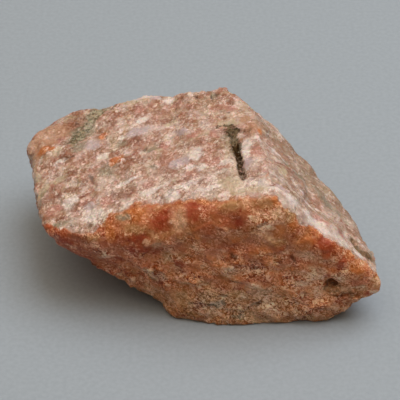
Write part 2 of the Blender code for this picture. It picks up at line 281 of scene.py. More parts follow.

# How ragged and how soft the rim of each region is, and how much of the stone under it that it hides. The
# places of painted glints on loose grains, and dark grains, are marked in the same way
REGIONS = {
    "pale": (0.5, 0.4, 1),
    "slope": (0.4, 0.3, 0.2),
    "slope_rind": (1, 0.5, 0.35),
    "low": (1, 0.6, 0.5),
    "left_end": (0.6, 0.6, 0.8),
    "bloom": (1, 0.5, 0.5),
    "bruised_edge": (1, 0.5, 0.85),
    "painted_glints": (0.8, 0.4, 1),
    "dark": (1.3, 0.5, 0.6),
}
# The same for each kind of mark, in the order in which they lie over each other
MARKS = {
    "brown": (0.7, 0.7, 0.65),
    "rose": (0.7, 0.7, 0.65),
    "ochre": (0.8, 0.7, 0.7),
    "salmon": (0.7, 0.5, 0.9),
    "rust": (1.0, 0.6, 0.75),
    "pink": (0.9, 0.45, 0.9),
    "olive": (1.0, 0.5, 0.75),
    "lavender": (0.8, 0.35, 0.95),
    "cream": (1.0, 0.5, 0.75),
    "white": (0.9, 0.4, 0.95),
    "red": (1.0, 0.7, 0.85),
    "peach": (1.0, 0.6, 0.6),
    # Orange: partly a painted flash on the top and a painted glow under the ridge
    "orange": (0.7, 0.4, 0.95),
    "chip": (0.9, 0.35, 0.75),
}
# Dark seams and cracks: how soft and how dark they are, then their dark and light specks
SEAMS = {
    "seam_halo": (0.5, 0.35, "#A08E70", "#CDBFA6"),
    "green_seam": (0.6, 0.85, "#3E3A1E", "#B4AE94"),
    "tip_seam": (0.4, 0.75, "#5E523A", "#A58E74"),
    # Small cracks: dark infill, and in the recess under the ledge near the tip painted shade
    "small_cracks": (0.4, 0.5, "#54351C", "#8E6442"),
    "grey_seam": (0.5, 0.95, "#221A0E", "#857457"),
    "curl": (0.4, 0.85, "#2A2010", "#66583E"),
    # The hole near the tip: a dark grain at its bottom, with painted shade in the hollow
    "pit": (0.4, 0.85, "#3A3322", "#8A4E30"),
    "black_seam": (0.35, 0.97, "#201206", "#4C341A"),
}
SEAM_RAGGEDNESS = 1.2
RIMS = REGIONS | MARKS | {name: (SEAM_RAGGEDNESS, *seam[:2]) for name, seam in SEAMS.items()}

# Widths of the grains beside a middling one, which makes them 3.4, 1.3, 0.55 and 0.3 mm wide as modelled
GRAIN_SIZES = {"large": 2.6, "middling": 1.0, "small": 0.42, "fine": 0.22}
# How far the grains' faces lean
GRAIN_LEANS = {"middling": 0.13, "small": 0.26, "fine": 0.42}
# Soft patterns: width of their swells in millimetres, how many finer layers they have, how strong those are.
# A real break is rough far more finely than "roughen", which is drawn this coarse so that it shows
SWELLS = {
    "waver": (1.1111, 2, 0.5),
    "rim": (0.83333, 4, 0.65),
    "roughen": (0.45455, 4, 0.7),
    "cloud": (6.25, 4, 0.6),
    "clusters": (2.6316, 3, 0.6),
    "drifts": (3.3333, 3, 0.6),
    "flaky": (2.2222, 6, 0.7),
    "veins": (1.8182, 5, 0.6),
}
# How far the grains' edges waver, and the middle value of a pattern's three channels
WAVER = 1.2
MIDDLE = (0.5, 0.5, 0.5)
# Which lots, from 0 to 1, give a grain each of its side's tints
TINT_LOTS = [(0.4, 0.6), (0.6, 0.73), (0.75, 0.88), (0.88, 1.01)]
# Steps in lightness from grain to grain: the height of each pattern's steps, then how strong they are in
# clear feldspar, in gravel, where painted glints of loose grains are marked, and on the top
STEPS = [
    ({"large": 0.05, "middling": 0.07, "flaky": 0.7}, 0.6, 1.15, 0.35, 1.1),
    ({"small": 0.09, "fine": 0.22}, 0.8, 1.7, 1.3, 0.95),
]
# How much of a step each of red, green and blue takes, and the darkest that a step may leave them
FRONT_SHADE = (0.8, 0.94, 1.06)
TOP_SHADE = (0.8, 0.76, 0.75)
DARKEST = (0.22, 0.14, 0.09)
# Turns linear colours into ones whose steps look even to the eye
EYE_GAMMA = 2.4
# Roughness and shine of fresh faces, of bruised ones, of those of them that still shine, and of powdery
# mineral
ROUGHNESS = {"fresh": 0.28, "bruised": 0.55, "shining": 0.24, "powdery": 0.9}
SHINE = {"fresh": 0.25, "bruised": 0.5, "powdery": 0.05}

# Width of the paper's fibres as they are drawn, in millimetres
FIBRE_WIDTH = 1.1111
# From the floor's middle to its edges
FLOOR_REACH = 4
LAMP_PLACE = Vector((0.28, 0.10, 0.79))
LAMP_WIDTH = 0.7
# The point that the lamp and the camera look at, and how near the camera sees
AIM = Vector((0.0001, -0.0017, 0.018))
NEAREST_SEEN = 0.01
# The higher this is, the narrower the room's light from overhead
ROOM_FALL_OFF = 3


def linear(hex_colour):
    """The linear colour of an sRGB hex value."""
    channels = [int(hex_colour[start:start + 2], 16) / 255 for start in (1, 3, 5)]
    return (*[c / 12.92 if c <= 0.04045 else ((c + 0.055) / 1.055) ** 2.4 for c in channels], 1)


def colour_of(name, what, hex_colour):
    """A colour that a user would change."""
    return bpy.props.FloatVectorProperty(
        name=name, description=what, subtype="COLOR", size=4, min=0, max=1, default=linear(hex_colour)
    )


class SunstoneLook(bpy.types.PropertyGroup):
    """What a user would change on the stone"""

    face_size: bpy.props.FloatProperty(
        name="Face size", description="Spacing of the stone's small even faces",
        default=0.00043, min=0.0003, max=0.002, unit="LENGTH", precision=5,
    )
    relief: bpy.props.FloatProperty(
        name="Relief", description="Height of the broken grains, where 1 is as modelled",
        default=1, min=0, max=2,
    )
    grain_size: bpy.props.FloatProperty(
        name="Grain size", description="Width of a middling feldspar grain",
        default=0.0013, min=0.0003, max=0.01, unit="LENGTH", precision=5,
    )
    fresh: colour_of("Fresh feldspar", "Clear feldspar on the front", "#D6844E")
    bruised: colour_of("Bruised feldspar", "Weathered and bruised feldspar on the top", "#AE9077")
    white: colour_of("Chalky feldspar", "Feldspar crushed white", "#EDE0DA")
    salmon: colour_of("Salmon grains", "Clear warm pink grains on the top", "#C19579")
    rust: colour_of("Rusty grains", "Grains stained by iron", "#874E34")
    pink: colour_of("Pink grains", "Fresher pink grains on the top", "#BE887A")
    olive: colour_of("Olive stain", "Stain of chlorite", "#968F7B")
    lavender: colour_of("Lavender grains", "Cool grains that shine", "#C9B7B9")
    cream: colour_of("Cream grains", "Yellowish feldspar", "#CFBFA3")
    # Orange grains: on the top partly a painted flash of reflected light, on the front under the ridge partly
    # a painted glow of light through the clear edge
    orange: colour_of("Orange flash", "Grains that flash or glow orange", "#CA7941")
    red: colour_of("Deep red", "Iron oxide inside the clear feldspar", "#A33812")
    rose: colour_of("Rose grains", "Pinker feldspar on the front", "#D48260")
    peach: colour_of("Peach chips", "Thin pale broken places on the front", "#F2C29D")
    chip: colour_of("Pale chips", "Thin flakes bruised pale on the front", "#F2C6A2")
    # Brown feldspar; laid over the left end of the front, its darkness there is partly painted shade
    brown: colour_of("Brown feldspar", "Duller feldspar on the front", "#B4502B")
    # Ochre: the rind of the lump; under the ridge on the front partly a painted golden glow of light through
    # the clear edge
    ochre: colour_of("Ochre rind", "Weathered skin of the lump", "#C19463")
    dark: colour_of("Dark grains", "Mica and chlorite in the seams and pits", "#45291A")


class StudioLook(bpy.types.PropertyGroup):
    """What a user would change around the stone"""

    camera_angle: bpy.props.FloatProperty(
        name="Camera angle", description="Angle of the camera above the floor",
        default=SIGHT_TILT, min=0, max=math.pi / 2, subtype="ANGLE",
    )
    camera_distance: bpy.props.FloatProperty(
        name="Camera distance", description="From the camera to the stone",
        default=0.42, min=0.1, unit="LENGTH",
    )
    lens: bpy.props.FloatProperty(name="Lens", description="Focal length", default=157, min=10, unit="CAMERA")
    lamp_power: bpy.props.FloatProperty(
        name="Lamp", description="Power of the soft lamp", default=3.6, min=0, unit="POWER",
    )
    wall_light: bpy.props.FloatProperty(
        name="Walls", description="Brightness of the room around the stone", default=0, min=0,
    )
    ceiling_light: bpy.props.FloatProperty(
        name="Ceiling", description="Brightness of the room above the stone", default=1.66, min=0,
    )
    lamp: colour_of("Lamp colour", "Cool light of the soft lamp", "#F2F8FF")
    room: colour_of("Room colour", "Warm light of the room", "#F8E3C9")
    paper: colour_of("Paper", "Backing paper between its fibres", "#A0ADBA")
    fibres: colour_of("Paper fibres", "Paler fibres of the backing paper", "#A6B3C0")


def add(tree, kind, inputs=None, output=0, **settings):
    """Adds a node with its settings and links, and returns one of its outputs.

    Each input is a value, or the output that it is linked from. Inputs go by number where names repeat: on a
    Mix node 0 is the share, 2 and 3 are its numbers, 4 and 5 its vectors, and 6 and 7 its colours. On a Map
    Range node 0 is the value, 1 and 2 are where it comes from, and 3 and 4 where it goes to.
    """
    node = tree.nodes.new("ShaderNode" + kind)
    for name, value in settings.items():
        setattr(node, name, value)
    for name, value in (inputs or {}).items():
        if isinstance(value, bpy.types.NodeSocket):
            tree.links.new(value, node.inputs[name])
        else:
            node.inputs[name].default_value = value
    return node.outputs[output] if node.outputs else None


def ease(values, start, end):
    """0 before start, 1 after end and smooth between them."""
    share = np.clip((values - start) / (end - start), 0, 1)
    return share * share * (3 - 2 * share)


def lots(cells, seed):
    """Three numbers from 0 to 1 for each cell of a grid, the same in each run.

    They are the last digits of a large sine. The factors only keep neighbouring cells apart.
    """
    mixed = cells @ np.array(((127.1, 269.5, 113.5), (311.7, 183.3, 271.9), (74.7, 246.1, 124.6)))
    return np.modf(np.abs(np.sin(mixed + seed)) * 43758.5453)[0]


def grains(points, size, seed):
    """The middle of the grain that each point lies in, and three numbers of that grain's own."""
    scaled = points / size
    home = np.floor(scaled)
    best = np.full(len(points), np.inf)
    middle = np.zeros_like(points)
    own = np.zeros_like(points)
    for step in itertools.product((-1, 0, 1), repeat=3):
        cell = home + step
        candidate = cell + lots(cell, seed)
        distance = ((candidate - scaled) ** 2).sum(1)
        nearer = distance < best
        best[nearer] = distance[nearer]
        middle[nearer] = candidate[nearer]
        own[nearer] = lots(cell[nearer], seed + 1)
    return middle * size, own


def drift(points, size, seed):
    """A smooth swell from -1 to 1 whose bumps are about this size apart."""
    scaled = points / size
    home = np.floor(scaled)
    share = ease(scaled - home, 0, 1)
    total = np.zeros(len(points))
    for corner in itertools.product((0, 1), repeat=3):
        weight = np.prod(np.where(corner, share, 1 - share), axis=1)
        total += weight * (lots(home + corner, seed)[:, 0] * 2 - 1)
    return total


def drawn_out(points, way, stretch):
    """The points squeezed along a way, so that a pattern made from them is drawn out along it."""
    way = np.array(Vector(way).normalized())
    along = points @ way
    return points - np.outer(along * (1 - 1 / stretch), way)


def run_distance(points, run):
    """The distance from each point to the nearest stretch of a run of points."""
    nearest = np.full(len(points), np.inf)
    for start, end in zip(run, run[1:]):
        start = np.array(start, float)
        stretch = np.array(end, float) - start
        along = np.clip((points - start) @ stretch / (stretch @ stretch), 0, 1)
        nearest = np.minimum(nearest, np.linalg.norm(points - start - np.outer(along, stretch), axis=1))
    return nearest


def smoothed(values, edges, passes):
    """Each point's value drawn halfway to its neighbours', this many times."""
    values = values.copy()
    count = np.bincount(edges.ravel(), minlength=len(values))
    for _ in range(passes):
        for column in values.T:
            total = np.bincount(edges[:, 0], column[edges[:, 1]], len(values))
            total += np.bincount(edges[:, 1], column[edges[:, 0]], len(values))
            column += 0.5 * (total / count - column)
    return values


def fine_copy(node, face_size):
    """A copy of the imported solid, covered with small even faces."""
    mesh = node.data.copy()
    mesh.materials.clear()
    solid = bmesh.new()
    solid.from_mesh(mesh)
    bmesh.ops.remove_doubles(solid, verts=solid.verts, dist=SAME_PLACE)
    solid.to_mesh(mesh)
    solid.free()
    stone = bpy.data.objects.new("sunstone_lump", mesh)
    bpy.context.scene.collection.objects.link(stone)
    even = stone.modifiers.new("even faces", "REMESH")
    even.mode = "VOXEL"
    even.voxel_size = face_size
    even.use_smooth_shade = True
    graph = bpy.context.evaluated_depsgraph_get()
    fine = bpy.data.meshes.new_from_object(stone.evaluated_get(graph))
    stone.modifiers.clear()
    stone.data = fine
    bpy.data.meshes.remove(mesh)
    if not fine.polygons:
        raise RuntimeError("The packed stone couldn't be covered with faces of this size")
    fine.name = stone.name
    return stone


def read(collection, name, width):
    """What each element of a part of the mesh keeps under this name, as rows of this many numbers."""
    values = np.empty(len(collection) * width, np.float32)
    collection.foreach_get(name, values)
    return values.reshape(-1, width).astype(float)


def place_vertices(mesh, points):
    """Moves the mesh's vertices to these points, which are in millimetres."""
    mesh.vertices.foreach_set("co", (points * MM).ravel().astype(np.float32))
    mesh.update()


def wandering(points, swells):
    """The points moved about by swells of these sizes and heights, so that rims drawn with them wander."""
    moved = points.copy()
    for seed, (size, height) in enumerate(swells):
        for axis in range(3):
            moved[:, axis] += drift(points, size, 100 + 10 * seed + axis) * height
    return moved


def regions(points, facing):
    """How far each point belongs to the stone's differently broken sides."""
    along, across, up = points.T
    seen_height = across * math.sin(SIGHT_TILT) + up * math.cos(SIGHT_TILT)
    above_edge = seen_height - np.interp(along, *zip(*EDGE))
    past_slope_edge = along - np.interp(across, *zip(*SLOPE_EDGE))
    # On the sides and the back the border lies lower, wanders and is soft
    behind = ease(across, -14, 8)
    above_edge += (5 + 3 * drift(points, 4, 71)) * behind
    blend = 0.7 + 0.7 * ease(along, 0, 6) * (1 - ease(along, 16, 20)) + 3.5 * behind
    # Faces that turn down are not bruised, except at the back
    turned_down = 0.35 * drift(points, 3.5, 70) - facing[:, 2]
    under = ease(turned_down, 0.1, 0.75) * ease(-facing[:, 1], -0.5, 0.2)
    pale = ease(above_edge, -blend, blend * 0.8) * (1 - under)
    return {
        "pale": pale,
        "slope": pale * ease(past_slope_edge, -0.5, 1.5) * ease(facing[:, 0], 0.1, 0.35),
        "above_edge": above_edge,
        "upward": ease(facing[:, 2], 0.3, 0.55),
        "forward": ease(-facing[:, 1], 0.15, 0.4) * (1 - pale),
    }


def mark_share(right, up, marks):
    """How far each point lies in a mark: 1.4 near its middle, 0.6 at its rim and 0 away from it."""
    share = np.zeros(len(right))
    for middle_right, middle_up, length, width, *turned in marks:
        turn = math.radians(sum(turned))
        along_mark = (right - middle_right) * math.cos(turn) + (up - middle_up) * math.sin(turn)
        over_mark = (up - middle_up) * math.cos(turn) - (right - middle_right) * math.sin(turn)
        reach = np.hypot(along_mark / (length / 2), over_mark / (width / 2))
        share = np.maximum(share, np.clip(1.6 - reach, 0, 1.4))
    return share


def near_run(points, run, width):
    """1 on a run of points, 0.5 at this distance from it and 0 away from it."""
    return np.clip(1.5 - run_distance(points, run) / width, 0, 1)


def grain_relief(points, region):
    """Height of the broken grains, in millimetres."""
    drawn = {side: drawn_out(points, way, stretch) for side, (way, stretch, _) in FABRICS.items()}
    place = drawn["front"]
    for side in ("pale", "slope"):
        place = np.where(region[side][:, None] > 0.5, drawn[side], place)
    height = np.zeros(len(points))
    for seed, (size, lean, step) in enumerate(FACETS):
        middle, own = grains(place, size, seed * 7)
        own = own * 2 - 1
        height += ((place - middle) * own).sum(1) * lean + own[:, 2] * step
    # Fine ripples on the faces, and broad swells under them
    height += drift(place, 0.7, 40) * 0.035 + drift(points, 6, 41) * 0.12
    # The clear feldspar under the ridge broke smoother, and the top is a little worn
    smooth_front = ease(region["above_edge"], -11, -7) * (1 - region["pale"])
    return height * (1 - 0.55 * smooth_front) * (1 - 0.2 * region["pale"])


def broken_features(points, facing):
    """Height of the seams, cracks, holes, lumps and flakes, in millimetres."""
    height = np.zeros(len(points))
    wander = points + 0.35 * np.stack([drift(points, 0.9, seed) for seed in (50, 51, 52)], axis=1)
    for run, width, depth in CUTS:
        height -= depth * np.clip(1.3 - run_distance(wander, run) / width, 0, 1)
    for middle, radius, rise in BITS:
        reach = np.linalg.norm(wander - np.array(middle), axis=1) / radius
        height += rise * (1 - ease(reach, 0.55, 1.05))
    for run, rise, reach in FLAKES:
        start, end = np.array(run[0]), np.array(run[-1])
        along = (wander - start) @ (end - start) / ((end - start) @ (end - start))
        edge_height = np.interp(wander[:, 0], [place[0] for place in run], [place[2] for place in run])
        over = wander[:, 2] - edge_height
        sheet = ease(over, -0.2, 0.3) * (1 - ease(over, reach * 0.3, reach))
        ends = ease(along, 0, 0.15) * (1 - ease(along, 0.85, 1))
        height += rise * sheet * ends * (facing[:, 1] < -0.2)
    pits = np.clip(drift(points, 0.9, 60) - 0.1, 0, 1)
    height -= (1 - ease(run_distance(wander, GREEN_SEAM), 1.2, 2.6)) * (0.15 + 0.45 * pits)
    return height


def region_shares(points, region):
    """How much of each region there is at each point."""
    along, across, up = points.T
    above, pale = region["above_edge"], region["pale"]
    fresh = 1 - pale
    # Clear under the ridge, but less so towards the tip
    clear_band = ease(above, -16, -6) * fresh * (1 - 0.6 * ease(along, 19, 29))
    # Chalky along the right half of the ridge
    right_ridge = ease(along, 12, 19) * (1 - 0.75 * ease(along, 31, 37))
    # A thin bloom of crushed grains along the left half, thinner at the very edge and gone at the left end
    left_ridge = (1 - ease(along, 12, 20)) * ease(along, -34, -20) * (0.5 + 0.5 * ease(above, 0.5, 3))
    return {
        "pale": pale,
        "slope": region["slope"],
        "granular": 1 - clear_band,
        "bruised_edge": pale * (1 - ease(above, 1, 4.5)) * right_ridge,
        "bloom": pale * (1 - ease(above, 2, 13)) * region["upward"] * left_ridge,
        # The left end of the front, coated darker brown later: partly duller feldspar, partly painted shade
        # where that end turns away from the lamp
        "slope_rind": region["slope"] * ease(across + 0.75 * along, 8, 21),
        "left_end": fresh * (1 - ease(along, -33, -6)),
        "low": fresh * (1 - ease(up, 6, 13)),
    }


def seam_shares(points, ragged, seams):
    """How much of each seam, crack and pit there is at each point."""
    faded = 1 - 0.4 * ease(-points[:, 1], 8, 14)
    pit_reach = np.linalg.norm((seams - TIP_HOLE) * (0.8, 1, 1.6), axis=1) / 1.3
    return {
        "black_seam": near_run(seams, BLACK_SEAM, 0.66) * faded,
        "grey_seam": near_run(seams, GREY_SEAM, 1.25),
        "seam_halo": near_run(seams + (1.3, 0, 0), BLACK_SEAM, 1.8),
        "curl": near_run(seams, CURL, 0.42),
        "green_seam": near_run(ragged, GREEN_SEAM, 2.1),
        "tip_seam": near_run(seams, TIP_SEAM, 1.0),
        # Small cracks, dark partly as painted shade in the recess under the ledge near the tip
        "small_cracks": np.max([near_run(seams, run, width) for run, width, _ in SMALL_CRACKS], axis=0),
        # The hole near the tip, dark partly as painted shade in the hollow
        "pit": np.clip(1.6 - pit_reach, 0, 1),
    }


def mark_shares(ragged, region):
    """How much of each kind of mark there is at each point, on the top and on the front."""
    along, across, up = ragged.T
    shares = {}
    for name in (*MARKS, "dark", "painted_glints"):
        top = mark_share(along, across, TOP_MARKS.get(name, ())) * region["upward"] * region["pale"]
        front = mark_share(along, up, FRONT_MARKS.get(name, ())) * region["forward"]
        shares[name] = np.maximum(top, front)
    return shares


def break_stone(stone, relief):
    """Breaks the even surface into grains, cuts its seams and writes where each mineral lies."""
    mesh = stone.data
    edges = np.empty(len(mesh.edges) * 2, np.int32)
    mesh.edges.foreach_get("vertices", edges)
    edges = edges.reshape(-1, 2)
    points = smoothed(read(mesh.vertices, "co", 3) / MM, edges, ROUNDING_PASSES)
    place_vertices(mesh, points)
    facing = read(mesh.vertex_normals, "vector", 3)
    broad = smoothed(facing, edges, BROAD_PASSES)
    region = regions(wandering(points, REGION_WANDER), broad)
    ragged = wandering(points, MARK_WANDER)
    seams = wandering(points, SEAM_WANDER)
    shares = region_shares(points, region) | seam_shares(points, ragged, seams) | mark_shares(ragged, region)
    for name, share in shares.items():
        layer = mesh.attributes.new(name, "FLOAT", "POINT")
        layer.data.foreach_set("value", share.astype(np.float32))

    height = grain_relief(points, region) * (1 - 0.6 * shares["salmon"]) + broken_features(points, broad)
    # The flat spot that the stone rests on stays flat
    on_foot = (1 - ease(points[:, 2], 0.1, 0.8)) * ease(-broad[:, 2], 0.6, 0.9)
    height *= relief * (1 - on_foot)
    points += facing * height[:, None]
    points[:, 2] = np.maximum(points[:, 2], 0)
    place_vertices(mesh, points)


def place_along_grains(tree, ragged, share):
    """The place, drawn out on each side of the stone along the way in which its grains lie."""
    chosen = None
    for side, (way, _, stretch) in FABRICS.items():
        turn = Vector(way).to_track_quat("X", "Z").to_euler()
        sockets = {"Vector": ragged, "Rotation": turn, "Scale": (stretch, 1, 1)}
        drawn = add(tree, "Mapping", sockets, vector_type="TEXTURE")
        if chosen is None:
            chosen = drawn
            continue
        inside = add(tree, "Math", {0: share[side], 1: 0.5}, operation="GREATER_THAN")
        chosen = add(tree, "Mix", {0: inside, 4: chosen, 5: drawn}, 1, data_type="VECTOR")
    return chosen


def swells_of(tree, place, names):
    """The soft patterns of these names, which follow this place."""
    made = {}
    for name in names:
        width, layers, roughness = SWELLS[name]
        sockets = {"Vector": place, "Scale": 1 / width, "Detail": layers, "Roughness": roughness}
        made[name] = add(tree, "TexNoise", sockets)
    return made


def stone_patterns(tree, look):
    """The patterns that the feldspar's colours, gloss and relief follow. Places are in millimetres."""
    place = add(tree, "TexCoord", output="Object")
    place = add(tree, "VectorMath", {0: place, "Scale": 1 / MM}, operation="SCALE")
    swell = swells_of(tree, place, ("waver", "rim", "roughen"))
    waver = swell["waver"].node.outputs["Color"]
    waver = add(tree, "VectorMath", {0: waver, 1: MIDDLE}, operation="SUBTRACT")
    ragged = add(tree, "VectorMath", {0: waver, 1: (WAVER,) * 3, 2: place}, operation="MULTIPLY_ADD")
    share = {}
    for name in ("granular", *RIMS):
        share[name] = add(tree, "Attribute", output="Fac", attribute_name=name)
    grain_place = place_along_grains(tree, ragged, share)
    swell |= swells_of(tree, ragged, ("cloud", "clusters"))
    swell |= swells_of(tree, grain_place, ("drifts", "flaky", "veins"))

    # Each grain has its own lean, and three lots of its own: for lightness, for tint, and for gloss or rims
    lean, lot = {}, {}
    for name, size in GRAIN_SIZES.items():
        scale = MM / (size * look.grain_size)
        cell = add(tree, "TexVoronoi", {"Vector": grain_place, "Scale": scale}, "Color")
        lean[name] = add(tree, "VectorMath", {0: cell, 1: MIDDLE}, operation="SUBTRACT")
        lot[name] = add(tree, "SeparateColor", {0: cell}).node.outputs
    drifts = add(tree, "SeparateColor", {0: swell["drifts"].node.outputs["Color"]}).node.outputs
    # A mark's rim follows the grains that it takes in
    rim = add(tree, "MapRange", {0: swell["rim"], 1: 0.3, 2: 0.7, 3: -0.65, 4: 0.15})
    rim = add(tree, "Math", {0: lot["small"][2], 1: 0.5, 2: rim}, operation="MULTIPLY_ADD")
    # Broken grains come in clusters
    clustered = add(tree, "MapRange", {0: swell["clusters"], 1: 0.36, 2: 0.64, 3: 0.3, 4: 1.6})
    # How far the feldspar is broken into gravel, where 0 is clear feldspar
    gravelly = add(tree, "MapRange", {0: swell["cloud"], 1: 0.3, 2: 0.7, 3: -0.35, 4: 0.35})
    gravelly = add(tree, "Math", {0: share["granular"], 1: gravelly}, operation="ADD", use_clamp=True)
    gravelly = add(tree, "Math", {0: share["left_end"], 1: 0.4, 2: gravelly}, operation="MULTIPLY_ADD")
    pattern = SimpleNamespace(
        share=share, swell=swell, lean=lean, lot=lot, drifts=drifts, rim=rim, clustered=clustered,
        gravelly=gravelly,
    )
    pattern.pale = shown(tree, pattern, "pale")
    return pattern


def shown(tree, pattern, name):
    """How much of a region, mark or seam shows at each place."""
    raggedness, softness, most = RIMS[name]
    moved = add(tree, "Math", {0: pattern.rim, 1: raggedness, 2: 1}, operation="MULTIPLY_ADD")
    moved = add(tree, "Math", {0: moved, 1: pattern.share[name]}, operation="MULTIPLY")
    return add(
        tree, "MapRange", {0: moved, 1: 0.5 - softness, 2: 0.5 + softness, 4: most},
        interpolation_type="SMOOTHSTEP",
    )


def mottled(tree, pattern, colour, grain_tints, drift_tints, most_grain, most_drift):
    """Gives whole grains tints of their own, most of all large ones, and lays soft drifts of tint over."""
    for name, most in (("large", most_grain), ("middling", most_grain * 0.45)):
        for (start, end), tint in zip(TINT_LOTS, grain_tints):
            above = add(tree, "Math", {0: pattern.lot[name][1], 1: start}, operation="GREATER_THAN")
            below = add(tree, "Math", {0: pattern.lot[name][1], 1: end}, operation="LESS_THAN")
            picked = add(tree, "Math", {0: above, 1: below}, operation="MULTIPLY")
            picked = add(tree, "Math", {0: picked, 1: most}, operation="MULTIPLY")
            colour = add(tree, "Mix", {0: picked, 6: colour, 7: tint}, 2, data_type="RGBA")
    for height, tint in zip(pattern.drifts, drift_tints):
        amount = add(tree, "MapRange", {0: height, 1: 0.5, 2: 0.66, 4: most_drift})
        colour = add(tree, "Mix", {0: amount, 6: colour, 7: tint}, 2, data_type="RGBA")
    return colour


def fresh_feldspar(tree, pattern, look):
    """Clear orange feldspar, which looks deeper where it isn't broken into gravel."""
    tone = add(tree, "MapRange", {0: pattern.swell["cloud"], 1: 0.3, 2: 0.7, 3: 0.8, 4: 1.2})
    depth = add(tree, "MapRange", {0: pattern.share["granular"], 3: 0.72, 4: 1.28})
    tone = add(tree, "Math", {0: tone, 1: depth}, operation="MULTIPLY")
    colour = add(tree, "VectorMath", {0: look.fresh[:3], "Scale": tone}, operation="SCALE")
    tints = (look.rose, look.ochre, look.brown)
    return mottled(tree, pattern, colour, (*tints, look.peach), tints, 0.24, 0.5)


def bruised_feldspar(tree, pattern, look):
    """Feldspar bruised dull and pale, with pinker, yellower, whiter and rusty grains."""
    tone = add(tree, "MapRange", {0: pattern.swell["cloud"], 1: 0.3, 2: 0.7, 3: 1.18, 4: 0.8})
    colour = add(tree, "VectorMath", {0: look.bruised[:3], "Scale": tone}, operation="SCALE")
    tints = (look.pink, look.cream, look.white, look.rust)
    return mottled(tree, pattern, colour, tints, (look.pink, look.white, look.rust), 0.55, 0.7)


def crushed_veins(tree, pattern):
    """How much of thin white veins of crushed feldspar shows on the top, where they lie in patches."""
    vein = add(tree, "Math", {0: pattern.swell["veins"], 1: 0.5}, operation="SUBTRACT")
    vein = add(tree, "Math", {0: vein}, operation="ABSOLUTE")
    vein = add(tree, "MapRange", {0: vein, 2: 0.03, 3: 1, 4: 0})
    patches = add(tree, "MapRange", {0: pattern.swell["cloud"], 1: 0.4, 2: 0.6, 3: 0.1, 4: 0.8})
    vein = add(tree, "Math", {0: vein, 1: patches}, operation="MULTIPLY")
    return add(tree, "Math", {0: vein, 1: pattern.pale}, operation="MULTIPLY")


def coated(tree, pattern, look, colour):
    """Lays on the skin of the lump, its veins, the bruises along the ridge and the marks of each mineral. The
    brown over the left end is partly painted shade, the orange on the top partly a painted flash, and the
    orange and ochre under the ridge partly a painted glow.
    """
    coats = [
        (shown(tree, pattern, "low"), look.ochre),
        # Darker brown over the left end: partly duller feldspar, partly painted shade where that end turns
        # away from the lamp
        (shown(tree, pattern, "left_end"), look.brown),
        (crushed_veins(tree, pattern), look.white),
        (shown(tree, pattern, "slope"), look.olive),
        (shown(tree, pattern, "slope_rind"), look.olive),
    ]
    bruising = add(tree, "MapRange", {0: pattern.drifts[1], 1: 0.35, 2: 0.6, 3: 0.2, 4: 1})
    for name in ("bloom", "bruised_edge"):
        amount = add(tree, "Math", {0: shown(tree, pattern, name), 1: bruising}, operation="MULTIPLY")
        coats.append((amount, look.white))
    for name in MARKS:
        coats.append((shown(tree, pattern, name), getattr(look, name)))
    for amount, tint in coats:
        colour = add(tree, "Mix", {0: amount, 6: colour, 7: tint}, 2, data_type="RGBA")
    return colour


def loose_painted_glints(tree, pattern, painted_glinting, sugary):
    """How strong the painted glints of loose grains are, pale steps that stand in for highlights: most where
    they are marked, then in clusters and on the sugary top.
    """
    scattered = add(tree, "MapRange", {0: pattern.clustered, 1: 0.9, 2: 1.6, 4: 0.7})
    painted_glint_strength = add(tree, "Math", {0: pattern.pale, 1: sugary}, operation="MULTIPLY")
    painted_glint_strength = add(tree, "Math", {0: painted_glint_strength, 1: 0.6}, operation="MULTIPLY")
    painted_glint_strength = add(tree, "Math", {0: scattered, 1: painted_glint_strength}, operation="MAXIMUM")
    return add(tree, "Math", {0: painted_glinting, 1: painted_glint_strength}, operation="MAXIMUM")


def grain_steps(tree, pattern):
    """How much lighter each grain is than what lies around it, where less than 0 is darker.

    The steps are smallest in clear feldspar, and larger in gravel and where painted glints of loose broken
    grains are marked. On top of them come the painted glints, pale steps that stand in for highlights.
    """
    lightness = {name: outputs[0] for name, outputs in pattern.lot.items()}
    lightness["flaky"] = pattern.swell["flaky"]
    sugary = add(tree, "MapRange", {0: pattern.share["bloom"], 3: 0.75, 4: 1.25})
    sugary = add(tree, "Math", {0: sugary, 1: pattern.clustered}, operation="MULTIPLY")
    # Where painted glints of loose grains are marked
    painted_glinting = shown(tree, pattern, "painted_glints")
    step = 0
    for heights, on_clear, on_gravel, on_glints, on_top in STEPS:
        strength = add(tree, "MapRange", {0: pattern.gravelly, 3: on_clear, 4: on_gravel})
        strength = add(tree, "Math", {0: strength, 1: pattern.clustered}, operation="MULTIPLY")
        strength = add(tree, "Math", {0: painted_glinting, 1: on_glints, 2: strength}, operation="MULTIPLY_ADD")
        topside = add(tree, "Math", {0: sugary, 1: on_top}, operation="MULTIPLY")
        strength = add(tree, "Mix", {0: pattern.pale, 2: strength, 3: topside}, data_type="FLOAT")
        for name, height in heights.items():
            part = add(tree, "Math", {0: lightness[name], 1: 0.5}, operation="SUBTRACT")
            part = add(tree, "Math", {0: part, 1: height}, operation="MULTIPLY")
            step = add(tree, "Math", {0: part, 1: strength, 2: step}, operation="MULTIPLY_ADD")
    # One small grain in six gets a painted glint, a pale step that stands in for a highlight
    painted_glint = add(tree, "MapRange", {0: pattern.lot["small"][1], 1: 0.8, 2: 0.92, 4: 0.3})
    painted_glint_strength = loose_painted_glints(tree, pattern, painted_glinting, sugary)
    step = add(tree, "Math", {0: painted_glint, 1: painted_glint_strength, 2: step}, operation="MULTIPLY_ADD")
    # The marks of clear mineral are more even
    clear = pattern.share["salmon"]
    for name in ("red", "lavender", "cream"):
        clear = add(tree, "Math", {0: clear, 1: pattern.share[name]}, operation="MAXIMUM")
    clear = add(tree, "MapRange", {0: clear, 1: 0.3, 2: 0.8, 3: 1, 4: 0.4})
    return add(tree, "Math", {0: step, 1: clear}, operation="MULTIPLY")


